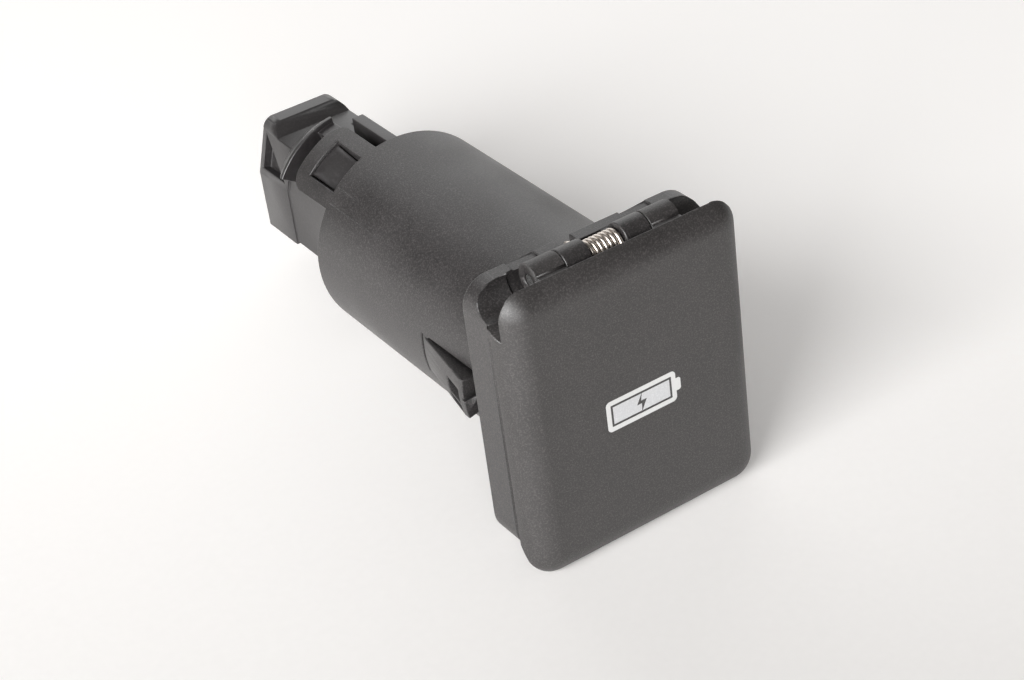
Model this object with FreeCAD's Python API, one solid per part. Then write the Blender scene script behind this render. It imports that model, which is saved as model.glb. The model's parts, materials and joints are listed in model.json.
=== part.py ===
import FreeCAD, Part
import math
import os

V = FreeCAD.Vector
ORIGIN = V(0, 0, 0)
ALONG_X = V(1, 0, 0)
ALONG_Y = V(0, 1, 0)
ALONG_Z = V(0, 0, 1)

# A USB charging socket that snaps into a round hole in a car's panel.
# All sizes are millimetres. X points right as seen from the lid, Y runs from the
# lid back to the harness connector and Z points up. The origin lies on the barrel's
# axis, in the plane where the back of the bezel meets the panel.

# Driving dimensions of the barrel and the shoulder at its mouth
barrel_diameter = 28.5
barrel_wall = 1.8
barrel_length = 43.0
shoulder_width = 0.95
shoulder_depth = 1.0

# Driving dimensions of the bezel
bezel_width = 33.2
bezel_height = 37.4
bezel_above_axis = 18.05
bezel_depth = 5.9
bezel_corner = 3.7
bezel_chamfer = 0.35
bezel_floor = 2.0
bezel_rim = 2.0
bezel_draft = 1.3
well_corner = 1.5

# Driving dimensions of the lid
lid_side_overhang = 0.75
lid_top_overhang = 2.1
lid_bottom_overhang = 2.0
lid_thickness = 4.7
lid_gap = 0.2
lid_round = 3.8
lid_back_chamfer = 0.3
lid_wall = 1.8
lid_skin = 2.0
lid_relief_depth = 2.5
lid_relief_height = 6.1
lid_relief_slope = 0.5
lid_grip_depth = 3.5
lid_grip_height = 6.7

# Driving dimensions of the hinge
hinge_below_top = 0.05
hinge_behind_front = 0.6
knuckle_radius = 2.2
scoop_clearance = 0.9
recess_clearance = 1.15
recess_end_gap = 1.1
ear_width = 3.6
lid_knuckle_width = 4.0
knuckle_side_gap = 0.15
pin_diameter = 1.5
pin_clearance = 0.1
pin_recess = 0.1
relief_drop = 0.3

# Driving dimensions of the lid's torsion spring
spring_space = 5.0
spring_end_gap = 0.1
spring_slack = 0.1
spring_wire = 0.6
spring_outer_diameter = 3.5
spring_turns = 6
spring_steps_per_turn = 12
spring_bezel_leg = 4.0
spring_bezel_leg_slope = 25.0
spring_lid_leg = 4.6
spring_lid_leg_slope = 50.0
spring_notch_width = 2.3
spring_seat_gap = 0.05
spring_hole_clearance = 0.15

# Driving dimensions of the snap tabs that grip the panel
panel_grip = 3.9
tab_length = 12.2
tab_land = 0.9
tab_rise = 2.0
tab_width = 5.2
tab_drop = 0.75
tab_pockets = ((0.3, 0.95), (1.6, 1.9))
tab_front_wall = 1.3
tab_pocket_length = 3.4
tab_split = 0.35
tab_skin = 0.9
tab_slot = 0.4
tab_root = 1.2
tab_groove = 0.35
tab_groove_depth = 0.5

# Driving dimensions of the latch tongues at the back of the barrel
tongue_length = 9.3
tongue_edge_angle = 11.3
tongue_sweep = 44.2
tongue_side_strip = 2.55
tongue_bar = 2.9
tongue_corner = 2.4
latch_clearance = 0.2
latch_rise = 1.6
latch_lead_in = 0.8

# Driving dimensions of the connector insert
insert_clearance = 0.15
plug_depth = 6.0
key_width = 1.75
key_length = 9.6
key_drop = 0.35
pad_margin_angle = 3.0
pad_reach = 1.2
groove_depth = 3.0
groove_shoulder_angle = 12.5
guard_gap = 4.3
guard_thickness = 0.6
guard_rise = 0.7
guard_taper = 3.3
head_start = 62.4
head_length = 8.2
head_rim = 2.4
head_slope = 1.9
head_width = 16.3
head_bottom = -7.5
head_shoulder = 1.3
head_top = 9.15
head_roof_width = 10.8
head_roof_shift = -0.4
head_round = 1.9
neck_inset = 0.3
neck_drop = 1.6
side_recess_depth = 1.3
side_recess_edge = 1.0
shroud_width = 9.4
shroud_height = 10.6
shroud_middle = 0.3
shroud_depth = 13.0
shroud_corner = 1.0

# Driving dimensions of the board, its rails and the two terminals
board_width = 15.2
board_thickness = 1.6
board_top = -7.0
board_gap = 0.3
rail_grip = 0.8
rail_wall = 1.4
rail_fit = 0.1
terminal_width = 2.2
terminal_thickness = 0.8
terminal_spacing = 5.2
terminal_tail = 1.0
terminal_setback = 2.4
terminal_recess = 4.5
terminal_hole_clearance = 0.1

# Driving dimensions of the port fascia and the stacked USB receptacle
fascia_thickness = 2.2
fascia_mouth_clearance = 0.2
port_width = 12.5
port_height = 5.12
port_pitch = 8.4
shell_sheet = 0.35
shell_length = 14.0
insulator_depth = 4.2
insulator_fit = 0.05
tongue_blade_width = 11.1
tongue_blade_thickness = 1.84
tongue_blade_setback = 1.6
tongue_blade_raise = 0.75
contact_width = 1.0
contact_thickness = 0.25
contact_setback = 0.9
contact_places = (-3.5, -1.0, 1.0, 3.5)
contact_row_gap = 0.5

# Driving dimensions of the parts on the board, as length along X, length along Y and height
choke_width = 6.0
choke_height = 4.0
converter_size = (4.9, 3.9, 1.5)
controller_size = (2.9, 1.6, 1.1)
diode_size = (2.4, 4.3, 2.2)
fuse_size = (2.6, 3.8, 1.0)
ceramic_size = (1.25, 2.0, 1.1)
resistor_size = (0.8, 1.6, 0.5)
part_corner = 0.6
input_can_share = 0.95
input_can_height = 7.7
output_can_share = 0.7
output_can_height = 5.8
can_base_height = 1.0
can_inset = 0.2
part_gap = 0.5
small_parts_inset = 1.2
lead_thickness = 0.2
lead_width = 0.45
lead_reach = 0.9
converter_lead_pitch = 1.27
controller_lead_pitch = 0.95

# Places that follow from the driving dimensions
barrel_radius = barrel_diameter / 2
bore_radius = barrel_radius - barrel_wall
mouth_radius = bore_radius - shoulder_width
insert_radius = bore_radius - insert_clearance
bezel_front = -bezel_depth
bezel_side = bezel_width / 2
bezel_top = bezel_above_axis
bezel_bottom = bezel_top - bezel_height
lid_back = bezel_front - lid_gap
lid_side = bezel_side + lid_side_overhang
lid_front = lid_back - lid_thickness
lid_top = bezel_top + lid_top_overhang
lid_bottom = bezel_bottom - lid_bottom_overhang
relief_wall = lid_back - lid_relief_depth
relief_bottom = lid_top - lid_relief_height
grip_top = lid_bottom + lid_grip_height
hinge_y = bezel_front + hinge_behind_front
hinge_z = bezel_top - hinge_below_top
pin_radius = pin_diameter / 2
pin_hole_radius = pin_radius + pin_clearance
scoop_radius = knuckle_radius + scoop_clearance
recess_radius = knuckle_radius + recess_clearance
ear_inner = spring_space / 2
ear_outer = ear_inner + ear_width
knuckle_inner = ear_outer + knuckle_side_gap
knuckle_outer = knuckle_inner + lid_knuckle_width
spring_radius = (spring_outer_diameter - spring_wire) / 2
spring_left = spring_end_gap + spring_wire / 2 - ear_inner
spring_length = spring_space - 2 * spring_end_gap - spring_slack - spring_wire
spring_right = spring_left + spring_length
tab_end = panel_grip + tab_length
pocket_start = panel_grip + tab_front_wall
tongue_end = barrel_length + tongue_length
window_end = tongue_end - tongue_bar
pad_end = window_end + pad_reach
guard_start = tongue_end + guard_gap
guard_end = guard_start + guard_thickness
head_end = head_start + head_length
plug_front = barrel_length - plug_depth
fascia_back = shoulder_depth + fascia_thickness
shell_end = fascia_back + shell_length
shell_half_width = port_width / 2 + shell_sheet
lower_port = board_top + shell_sheet + port_height / 2
upper_port = lower_port + port_pitch
shell_top = upper_port + port_height / 2 + shell_sheet
board_front = fascia_back + board_gap
board_end = plug_front - board_gap
board_bottom = board_top - board_thickness
shroud_front = head_end - shroud_depth
terminal_end = head_end - terminal_recess
terminal_row = board_end - terminal_setback
parts_front = shell_end + 2 * (contact_row_gap + contact_width)
parts_reach = board_width / 2 - rail_grip - part_gap
row_depth = (terminal_row - parts_front - 3 * part_gap) / 2
second_row = parts_front + 2 * part_gap + row_depth
choke_size = (choke_width, row_depth, choke_height)
choke_x = choke_width / 2 - parts_reach
choke_y = parts_front + part_gap + row_depth / 2
input_can_diameter = input_can_share * row_depth
output_can_diameter = output_can_share * row_depth
output_can_x = parts_reach - output_can_diameter / 2
output_can_y = parts_front + part_gap + output_can_diameter / 2
input_can_x = parts_reach - input_can_diameter / 2
input_can_y = second_row + input_can_diameter / 2
diode_x = diode_size[0] / 2 - parts_reach
diode_y = second_row + diode_size[1] / 2
controller_y = parts_front + controller_size[1]
converter_y = controller_y + controller_size[1] + part_gap + converter_size[1] / 2
fuse_y = converter_y + converter_size[1] / 2 + part_gap + fuse_size[1] / 2
ceramic_x = parts_reach - small_parts_inset - ceramic_size[0] / 2
resistor_x = small_parts_inset + resistor_size[0] / 2 - parts_reach
small_parts_y = parts_front + ceramic_size[1] / 2
ceramic_count = 4
resistor_count = 5
COVER = 1.0


def block(x0, x1, y0, y1, z0, z1):
    """A box between two opposite corners."""
    return Part.makeBox(x1 - x0, y1 - y0, z1 - z0, V(x0, y0, z0))


def rounded_block(x0, x1, y0, y1, z0, z1, corner):
    """A box whose four edges along Y are rounded."""
    solid = block(x0, x1, y0, y1, z0, z1)
    middle = (y1 - y0) / 2
    edges = [edge for edge in solid.Edges if edge.BoundBox.YLength > middle]
    return solid.makeFillet(corner, edges)


def edges_at(shape, y):
    """The edges of a shape that lie in the plane at y."""
    near = 0.001
    return [edge for edge in shape.Edges
            if abs(edge.BoundBox.YMin - y) < near and abs(edge.BoundBox.YMax - y) < near]


def rod_x(radius, x0, x1, y, z):
    """A round rod along X."""
    return Part.makeCylinder(radius, x1 - x0, V(x0, y, z), ALONG_X)


def rod_y(radius, y0, y1):
    """A round rod on the barrel's axis."""
    return Part.makeCylinder(radius, y1 - y0, V(0, y0, 0), ALONG_Y)


def prism_y(points, y0, y1):
    """An outline of (x, z) points carried from y0 to y1."""
    corners = [V(x, y0, z) for x, z in points]
    face = Part.Face(Part.makePolygon(corners + corners[:1]))
    return face.extrude(V(0, y1 - y0, 0))


def prism_x(points, x0, x1):
    """An outline of (y, z) points carried from x0 to x1."""
    corners = [V(x0, y, z) for y, z in points]
    face = Part.Face(Part.makePolygon(corners + corners[:1]))
    return face.extrude(V(x1 - x0, 0, 0))


def turned(points, start, sweep):
    """A (radius, y) outline turned about the barrel's axis, from start degrees right of the top."""
    corners = [V(0, y, radius) for radius, y in points]
    solid = Part.Face(Part.makePolygon(corners + corners[:1])).revolve(ORIGIN, ALONG_Y, sweep)
    solid.rotate(ORIGIN, ALONG_Y, start)
    return solid


def ring_sector(inner, outer, y0, y1, start, sweep):
    """A length of tube wall that spans part of a turn."""
    return turned([(inner, y0), (outer, y0), (outer, y1), (inner, y1)], start, sweep)


def half_turned(shape):
    """A copy turned by half a turn about the barrel's axis."""
    copy = shape.copy()
    copy.rotate(ORIGIN, ALONG_Y, 180)
    return copy


def mirrored(shape):
    """A copy mirrored to the other side of the barrel."""
    return shape.mirror(ORIGIN, ALONG_X)


def arc_angle(length, radius):
    """The angle in degrees that an arc of this length spans at a radius."""
    return math.degrees(length / radius)


# Hinge row: two ears on the housing stand either side of the spring, and the lid's
# two knuckles stand outside the ears. All four share one pin.

def both_sides(inner, outer):
    """The two spans of x, left and right of the middle, between two distances."""
    return (-outer, -inner), (inner, outer)


def hinge_rod(radius, reach):
    """A round rod on the hinge axis that reaches as far to the left as to the right."""
    return rod_x(radius, -reach, reach, hinge_y, hinge_z)


def hinge_trough(radius, x0, x1):
    """A trough round the hinge axis, open to the front and to the top."""
    above = bezel_top + COVER
    ahead = bezel_front - COVER
    trough = rod_x(radius, x0, x1, hinge_y, hinge_z)
    trough = trough.fuse(block(x0, x1, ahead, hinge_y + radius, hinge_z, above))
    return trough.fuse(block(x0, x1, ahead, hinge_y, hinge_z - radius, above))


def ear(x0, x1):
    """A round hinge ear on a foot that grows out of the trough's floor and back wall."""
    foot = block(x0, x1, bezel_front, hinge_y + recess_radius + bezel_chamfer,
                 hinge_z - recess_radius - bezel_chamfer, hinge_z)
    return rod_x(knuckle_radius, x0, x1, hinge_y, hinge_z).fuse(foot)


def coil_point(x, slope):
    """The middle of the spring's wire where it is turned forward from the top by a slope in degrees."""
    angle = math.radians(slope)
    return V(x, hinge_y - spring_radius * math.sin(angle), hinge_z + spring_radius * math.cos(angle))


def bezel_leg_end():
    """The end of the spring's left leg, which runs back and down from the coil."""
    angle = math.radians(spring_bezel_leg_slope)
    start = coil_point(spring_left, -spring_bezel_leg_slope)
    return start + V(0, math.cos(angle), -math.sin(angle)) * spring_bezel_leg


def lid_leg_end(length):
    """The end of the spring's right leg, which runs forward and down from the coil."""
    angle = math.radians(spring_lid_leg_slope)
    start = coil_point(spring_right, spring_lid_leg_slope)
    return start + V(0, -math.cos(angle), -math.sin(angle)) * length


def wire_section(x, slope):
    """The wire's six-sided section, in the plane through the hinge axis at a slope in degrees."""
    middle = coil_point(x, slope)
    outward = (middle - V(x, hinge_y, hinge_z)).normalize()
    turns = [math.radians(60 * step) for step in range(6)]
    spokes = [outward * math.cos(turn) + ALONG_X * math.sin(turn) for turn in turns]
    corners = [middle + spoke * (spring_wire / 2) for spoke in spokes]
    return Part.makePolygon(corners + corners[:1])


def wire_run(start, end, radius):
    """A straight length of wire between two points."""
    return Part.makeCylinder(radius, start.distanceToPoint(end), start, end - start)


def bezel():
    """The square frame: a well behind the lid, the hinge trough and ears along its top."""
    frame = rounded_block(-bezel_side, bezel_side, bezel_front, 0, bezel_bottom, bezel_top, bezel_corner)
    frame = frame.makeChamfer(bezel_chamfer, edges_at(frame, bezel_front))
    draft = prism_x([(0, bezel_bottom), (bezel_front, bezel_bottom + bezel_draft),
                     (bezel_front, bezel_bottom - COVER), (0, bezel_bottom - COVER)], -bezel_side, bezel_side)
    well_top = hinge_z - recess_radius - bezel_rim
    well = rounded_block(bezel_rim - bezel_side, bezel_side - bezel_rim, bezel_front - COVER, -bezel_floor,
                         bezel_bottom + bezel_rim, well_top, well_corner)
    recess_reach = knuckle_outer + recess_end_gap
    scoop = hinge_trough(scoop_radius, -bezel_side - COVER, bezel_side + COVER)
    recess = hinge_trough(recess_radius, -recess_reach, recess_reach)
    frame = frame.cut(draft).cut(well).cut(scoop).cut(recess)
    for x0, x1 in both_sides(knuckle_inner, knuckle_outer):
        relief = block(x0, x1, bezel_front, COVER, bezel_top - relief_drop, bezel_top + COVER)
        frame = frame.cut(relief)
    for x0, x1 in both_sides(ear_inner, ear_outer):
        frame = frame.fuse(ear(x0, x1))
    half_notch = spring_notch_width / 2
    notch_floor = bezel_leg_end().z - spring_wire / 2 - spring_seat_gap
    notch = block(spring_left - half_notch, spring_left + half_notch, hinge_y + recess_radius - COVER, COVER,
                  notch_floor, bezel_top + COVER)
    pin_hole = hinge_rod(pin_hole_radius, ear_outer + COVER)
    return frame.cut(notch).cut(pin_hole)


# Snap tabs: sprung wedges on the barrel's sides that hold the panel against the back
# of the bezel. Two pockets behind the front wall keep their walls thin.

def snap_tab():
    """The left tab: a ramp that rises towards the bezel, with two pockets and a split front wall."""
    peak = barrel_radius + tab_rise
    sweep = arc_angle(tab_width, barrel_radius)
    start = -90 - arc_angle(tab_drop, barrel_radius) - sweep / 2
    ramp = turned([(bore_radius, panel_grip), (peak, panel_grip), (peak, panel_grip + tab_land),
                   (barrel_radius, tab_end), (bore_radius, tab_end)], start, sweep)
    for offset, width in tab_pockets:
        pocket = ring_sector(bore_radius + tab_skin, peak + COVER, pocket_start,
                             pocket_start + tab_pocket_length, start + arc_angle(offset, barrel_radius),
                             arc_angle(width, barrel_radius))
        ramp = ramp.cut(pocket)
    split_angle = arc_angle(tab_split, barrel_radius)
    split = ring_sector(barrel_radius, peak + COVER, panel_grip - COVER, panel_grip + tab_split,
                        start + (sweep - split_angle) / 2, split_angle)
    return ramp.cut(split)


def snap_tab_slot():
    """The cut that frees the left tab on its front and its two sides, and the groove at its root."""
    sweep = arc_angle(tab_width + 2 * tab_slot, barrel_radius)
    start = -90 - arc_angle(tab_drop, barrel_radius) - sweep / 2
    slot = ring_sector(bore_radius - COVER, barrel_radius + COVER, panel_grip - tab_slot,
                       tab_end - tab_root, start, sweep)
    groove = ring_sector(barrel_radius - tab_groove_depth, barrel_radius + COVER, tab_end,
                         tab_end + tab_groove, start, sweep)
    return slot.fuse(groove)


# Latch tongues: two lengths of barrel wall that reach back over the insert, each with
# a window in which a wedge of the insert catches.

def latch_tongue():
    """The upper left tongue, with rounded corners and its window."""
    sweep = tongue_sweep
    start = -tongue_edge_angle - sweep
    strip = ring_sector(bore_radius, barrel_radius, barrel_length, tongue_end, start, sweep)
    corners = [edge for edge in edges_at(strip, tongue_end) if isinstance(edge.Curve, Part.Line)]
    strip = strip.makeFillet(tongue_corner, corners)
    side = arc_angle(tongue_side_strip, barrel_radius)
    window = ring_sector(bore_radius - COVER, barrel_radius + COVER, barrel_length, window_end,
                         start + side, sweep - 2 * side)
    return strip.cut(window)


def housing():
    """Bezel, barrel, snap tabs and latch tongues, moulded in one piece."""
    body = bezel().fuse(rod_y(barrel_radius, -bezel_floor, barrel_length))
    body = body.cut(rod_y(mouth_radius, -bezel_floor - COVER, barrel_length))
    body = body.cut(rod_y(bore_radius, shoulder_depth, barrel_length + COVER))
    body = body.cut(snap_tab_slot()).cut(mirrored(snap_tab_slot()))
    body = body.fuse(snap_tab()).fuse(mirrored(snap_tab()))
    body = body.fuse(latch_tongue()).fuse(half_turned(latch_tongue()))
    return body.removeSplitter()


def lid():
    """A cushion-edged cover, hollow at the back, thinned for the hinge row and bevelled for a finger."""
    cover = block(-lid_side, lid_side, lid_front, lid_back, lid_bottom, lid_top)
    middle = (lid_front + lid_back) / 2
    cover = cover.makeFillet(lid_round, [edge for edge in cover.Edges if edge.BoundBox.YMin < middle])
    cover = cover.makeChamfer(lid_back_chamfer, edges_at(cover, lid_back))
    hollow = rounded_block(lid_wall - lid_side, lid_side - lid_wall, lid_front + lid_skin,
                           lid_back + COVER, grip_top + lid_wall, relief_bottom - lid_wall, lid_wall)
    behind = lid_back + COVER
    above = lid_top + COVER
    relief_rise = lid_relief_slope * (behind - relief_wall)
    relief = prism_x([(relief_wall, relief_bottom), (behind, relief_bottom + relief_rise), (behind, above),
                      (relief_wall, above)], -lid_side - COVER, lid_side + COVER)
    grip = prism_x([(lid_back, grip_top), (lid_back - lid_grip_depth, lid_bottom), (behind, lid_bottom),
                    (behind, grip_top)], -lid_side - COVER, lid_side + COVER)
    leg_hole = wire_run(coil_point(spring_right, spring_lid_leg_slope),
                        lid_leg_end(spring_lid_leg + spring_hole_clearance),
                        spring_wire / 2 + spring_hole_clearance)
    cover = cover.cut(hollow).cut(relief).cut(grip).cut(leg_hole)
    for x0, x1 in both_sides(knuckle_inner, knuckle_outer):
        arm = block(x0, x1, relief_wall - lid_back_chamfer, hinge_y, hinge_z - knuckle_radius / 2,
                    hinge_z + knuckle_radius / 2)
        cover = cover.fuse(rod_x(knuckle_radius, x0, x1, hinge_y, hinge_z).fuse(arm))
    pin_hole = hinge_rod(pin_hole_radius, knuckle_outer + COVER)
    return cover.cut(pin_hole).removeSplitter()


def hinge_pin():
    """A plain steel pin through both ears and both knuckles."""
    return hinge_rod(pin_radius, knuckle_outer - pin_recess)


def lid_spring():
    """A torsion spring on the pin, with one leg in the bezel's notch and one in the lid."""
    full_turn = 360 * spring_turns + spring_bezel_leg_slope + spring_lid_leg_slope
    steps = spring_turns * spring_steps_per_turn
    shares = [step / steps for step in range(steps + 1)]
    sections = [wire_section(spring_left + share * spring_length, share * full_turn - spring_bezel_leg_slope)
                for share in shares]
    coil = Part.makeLoft(sections, True, True)
    bezel_leg = wire_run(coil_point(spring_left, -spring_bezel_leg_slope), bezel_leg_end(), spring_wire / 2)
    lid_leg = wire_run(coil_point(spring_right, spring_lid_leg_slope), lid_leg_end(spring_lid_leg),
                       spring_wire / 2)
    return coil.fuse(bezel_leg).fuse(lid_leg)


# Connector insert: the plug that closes the barrel, the rails that carry the board and
# the shrouded connector behind.

def house(inset, drop, y0, y1):
    """A length of the connector: upright sides, sloped shoulders and a flat roof with round eaves."""
    half = head_width / 2 - inset
    eave = head_roof_width / 2 - inset
    top = head_top - drop
    bottom = head_bottom + inset
    outline = [(half, bottom), (half, head_shoulder), (head_roof_shift + eave, top),
               (head_roof_shift - eave, top), (-half, head_shoulder), (-half, bottom)]
    solid = prism_y(outline, y0, y1)
    above_shoulder = head_shoulder + COVER
    roof = [edge for edge in solid.Edges
            if edge.BoundBox.YLength > 0 and edge.BoundBox.ZMin > above_shoulder]
    return solid.makeFillet(head_round, roof)


def connector_head():
    """The head of the connector, whose roof slopes from the rim down to the neck."""
    above = head_top + COVER
    below = head_bottom - COVER
    rim_front = head_end - head_rim
    side_view = [(head_start, below), (head_end, below), (head_end, above), (rim_front, above),
                 (rim_front, head_top), (rim_front - head_slope, head_top - neck_drop),
                 (head_start, head_top - neck_drop)]
    return house(0, 0, head_start, head_end).common(prism_x(side_view, -head_width, head_width))


def latch_side():
    """The upper left side of the insert: pad, latch wedge, and a guard across the groove behind it."""
    start = -tongue_edge_angle - tongue_sweep - pad_margin_angle
    sweep = tongue_sweep + 2 * pad_margin_angle
    guard_top = insert_radius + guard_rise
    side = turned([(0, barrel_length), (insert_radius, barrel_length), (insert_radius, guard_start),
                   (guard_top, guard_start), (guard_top, guard_end),
                   (guard_top - guard_taper, head_start), (0, head_start)], start, sweep)
    groove = ring_sector(insert_radius - groove_depth, insert_radius + COVER, pad_end, guard_start,
                         start - pad_margin_angle, sweep + pad_margin_angle - groove_shoulder_angle)
    strip = arc_angle(tongue_side_strip + latch_clearance, barrel_radius)
    wedge_start = -tongue_edge_angle - tongue_sweep + strip
    wedge = turned([(0, barrel_length + latch_clearance), (insert_radius, barrel_length + latch_lead_in),
                    (insert_radius + latch_rise, window_end - latch_clearance),
                    (0, window_end - latch_clearance)], wedge_start, tongue_sweep - 2 * strip)
    return side.cut(groove).fuse(wedge)


def board_rails():
    """Two rails that hold the board by its long edges."""
    half = board_width / 2
    start = parts_front - contact_width
    bar = block(half - rail_grip, insert_radius, start, plug_front, board_bottom - rail_wall,
                board_top + rail_wall)
    slot = block(0, half + rail_fit, start - COVER, plug_front, board_bottom - rail_fit, board_top + rail_fit)
    rail = bar.cut(slot).common(rod_y(insert_radius, start, plug_front))
    return rail, mirrored(rail)


def side_recess():
    """A triangular pocket in the left sloped shoulder of the connector's head."""
    foot = V(-head_width / 2, head_end - side_recess_edge, head_shoulder)
    eave = V(head_roof_shift - head_roof_width / 2, head_end - side_recess_edge, head_top)
    upward = (eave - foot).normalize()
    inward = ALONG_Y.cross(upward)
    low = foot + upward * side_recess_edge + inward * side_recess_depth
    high = eave - upward * head_round + inward * side_recess_depth
    front = low - ALONG_Y * (head_length - 2 * side_recess_edge)
    face = Part.Face(Part.makePolygon([low, high, front, low]))
    return face.extrude(inward * -(side_recess_depth + COVER))


def connector_body():
    """The insert: plug, board rails, neck, key rib, latch sides and the shrouded connector."""
    body = rod_y(insert_radius, plug_front, barrel_length)
    body = body.fuse(house(neck_inset, neck_drop, barrel_length, head_start))
    body = body.fuse(connector_head())
    body = body.fuse(latch_side()).fuse(half_turned(latch_side()))
    key = block(-key_width / 2, key_width / 2, barrel_length, barrel_length + key_length, 0,
                barrel_radius - key_drop)
    body = body.fuse(key)
    for rail in board_rails():
        body = body.fuse(rail)
    cavity = rounded_block(-shroud_width / 2, shroud_width / 2, shroud_front, head_end + COVER,
                           shroud_middle - shroud_height / 2, shroud_middle + shroud_height / 2,
                           shroud_corner)
    body = body.cut(cavity).cut(side_recess())
    for x in (-terminal_spacing / 2, terminal_spacing / 2):
        body = body.cut(terminal(x))
    return body.removeSplitter()


def terminal(x):
    """A bent blade from a hole in the board, up and back into the shroud."""
    half = terminal_width / 2
    level = shroud_middle
    tail = board_bottom - terminal_tail
    outline = [(terminal_row, tail), (terminal_row + terminal_thickness, tail),
               (terminal_row + terminal_thickness, level), (terminal_end, level),
               (terminal_end, level + terminal_thickness), (terminal_row, level + terminal_thickness)]
    return prism_x(outline, x - half, x + half)


# Board and the parts soldered on it

def circuit_board():
    """The board, with a hole for each terminal's tail."""
    half = board_width / 2
    board = block(-half, half, board_front, board_end, board_bottom, board_top)
    half_hole = terminal_width / 2 + terminal_hole_clearance
    for x in (-terminal_spacing / 2, terminal_spacing / 2):
        hole = block(x - half_hole, x + half_hole, terminal_row - terminal_hole_clearance,
                     terminal_row + terminal_thickness + terminal_hole_clearance,
                     board_bottom - COVER, board_top + COVER)
        board = board.cut(hole)
    return board


def on_board(size, x, y):
    """A block of the given size standing on the board, with its middle at x and y."""
    return block(x - size[0] / 2, x + size[0] / 2, y - size[1] / 2, y + size[1] / 2,
                 board_top, board_top + size[2])


def under_board(size, x, y):
    """A block of the given size hanging below the board, with its middle at x and y."""
    return on_board(size, x, y).mirror(V(0, 0, (board_top + board_bottom) / 2), ALONG_Z)


def power_choke():
    """A shielded choke: a block with its upright corners cut off."""
    core = on_board(choke_size, choke_x, choke_y)
    upright = [edge for edge in core.Edges if edge.BoundBox.ZLength > choke_size[2] / 2]
    return core.makeChamfer(part_corner, upright)


def can_capacitor(diameter, height, x, y):
    """An aluminium can on a square base."""
    base = on_board((diameter, diameter, can_base_height), x, y)
    upright = [edge for edge in base.Edges if edge.BoundBox.ZLength > can_base_height / 2]
    base = base.makeChamfer(part_corner, upright)
    can = Part.makeCylinder(diameter / 2 - can_inset, height, V(x, y, board_top), ALONG_Z)
    return base.fuse(can)


def leaded_chip(size, y, leads, pitch):
    """A chip under the board on the middle line, with sloped leads on both sides."""
    chip = under_board(size, 0, y)
    inner = size[0] / 2 - lead_thickness
    outer = size[0] / 2 + lead_reach
    root = board_bottom - size[2] / 2
    outline = [(inner, root), (outer - lead_thickness, board_bottom), (outer, board_bottom),
               (inner, root - lead_thickness)]
    for index in range(leads):
        start = y + (index - (leads - 1) / 2) * pitch - lead_width / 2
        lead = prism_y(outline, start, start + lead_width)
        chip = chip.fuse(lead).fuse(mirrored(lead))
    return chip.removeSplitter()


def chip_row(size, x, first_y, count):
    """A row of small chip parts under the board, one behind the other."""
    step = size[1] + part_gap
    return [under_board(size, x, first_y + index * step) for index in range(count)]


# Stacked USB receptacle and the fascia in front of it

def port_box(z, y0, y1, margin):
    """The space of one port mouth, widened by a margin all round."""
    half_width = port_width / 2 + margin
    half_height = port_height / 2 + margin
    return block(-half_width, half_width, y0, y1, z - half_height, z + half_height)


def port_fascia():
    """The disc behind the mouth of the barrel, with a slot for each port."""
    disc = rod_y(insert_radius, shoulder_depth, fascia_back)
    for z in (lower_port, upper_port):
        disc = disc.cut(port_box(z, shoulder_depth - COVER, fascia_back + COVER, fascia_mouth_clearance))
    return disc


def usb_shell():
    """The sheet metal can round both ports, with a folded divider between them."""
    shell = block(-shell_half_width, shell_half_width, fascia_back, shell_end, board_top, shell_top)
    divider_end = shell_end - insulator_depth - COVER
    inner = block(-port_width / 2, port_width / 2, divider_end, shell_end + COVER,
                  board_top + shell_sheet, shell_top - shell_sheet)
    shell = shell.cut(inner)
    for z in (lower_port, upper_port):
        shell = shell.cut(port_box(z, fascia_back - COVER, shell_end, 0))
    hollow = block(-port_width / 2, port_width / 2, fascia_back + shell_sheet, divider_end + COVER,
                   lower_port + port_height / 2 + shell_sheet, upper_port - port_height / 2 - shell_sheet)
    return shell.cut(hollow)


def port_contacts(z, row):
    """The four contacts of one port: a strip under the blade and a leg down to the board."""
    strip_top = z + tongue_blade_raise - tongue_blade_thickness / 2 + contact_thickness
    leg_front = shell_end + contact_row_gap + row * (contact_width + contact_row_gap)
    outline = [(fascia_back + tongue_blade_setback + contact_setback, strip_top - contact_thickness),
               (leg_front, strip_top - contact_thickness), (leg_front, board_top),
               (leg_front + contact_width, board_top),
               (leg_front + contact_width, board_top + contact_thickness),
               (leg_front + contact_thickness, board_top + contact_thickness),
               (leg_front + contact_thickness, strip_top),
               (fascia_back + tongue_blade_setback + contact_setback, strip_top)]
    half = contact_width / 2
    return Part.makeCompound([prism_x(outline, x - half, x + half) for x in contact_places])


def usb_insulator():
    """The moulded block at the back of the can and the two blades that carry the contacts."""
    half = port_width / 2 - insulator_fit
    block_front = shell_end - insulator_depth
    body = block(-half, half, block_front, shell_end, board_top + shell_sheet + insulator_fit,
                 shell_top - shell_sheet - insulator_fit)
    half_blade = tongue_blade_width / 2
    for row, z in enumerate((lower_port, upper_port)):
        middle = z + tongue_blade_raise
        body = body.fuse(block(-half_blade, half_blade, fascia_back + tongue_blade_setback, block_front,
                               middle - tongue_blade_thickness / 2, middle + tongue_blade_thickness / 2))
        body = body.cut(port_contacts(z, row))
    return body.removeSplitter()


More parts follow.
